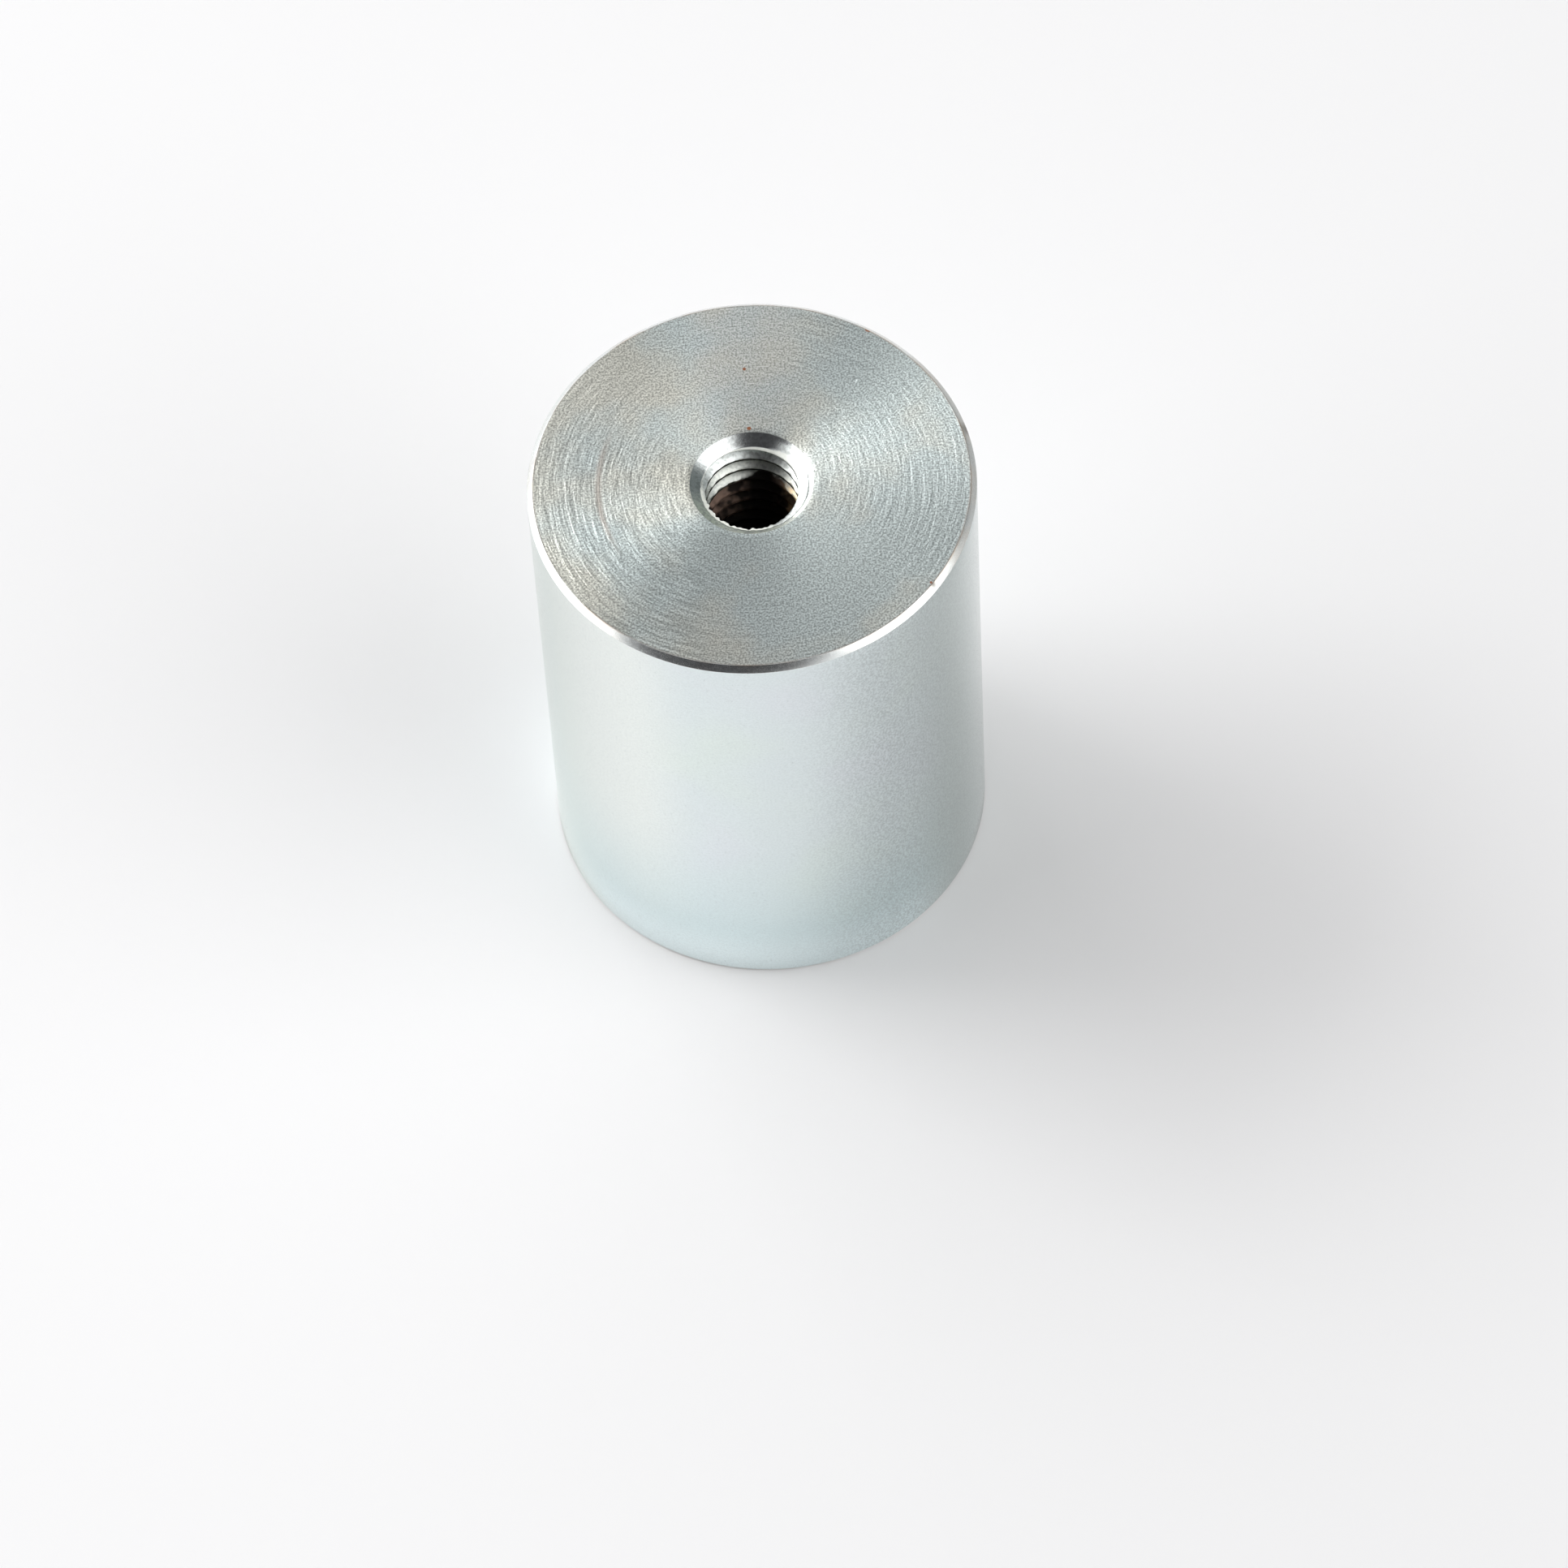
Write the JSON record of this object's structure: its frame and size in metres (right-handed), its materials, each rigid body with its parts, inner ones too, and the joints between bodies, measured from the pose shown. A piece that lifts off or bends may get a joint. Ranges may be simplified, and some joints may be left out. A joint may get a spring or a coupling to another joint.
{
  "type": "threaded rod magnet",
  "caption": "Round rod magnet: a plated steel pot with a tapped blind hole in one end and a flush magnet core in a non-magnetic spacer at the other.",
  "frame": {"origin": "centre of the magnetic face", "axes": "+Z along the magnet's axis, from the magnetic face to the threaded end"},
  "size_m": [0.032, 0.032, 0.04],
  "materials": {
    "zinc_plated_steel": "bright zinc plate with a pale blue clear passivation, face-turned threaded end, ground magnetic face",
    "spacer_brass": "ground flush",
    "magnet_alloy": "cast alloy, ground flush"
  },
  "bodies": {
    "root": {"pot_housing": "zinc_plated_steel", "spacer_sleeve": "spacer_brass", "magnet_core": "magnet_alloy"}
  },
  "joints": []
}
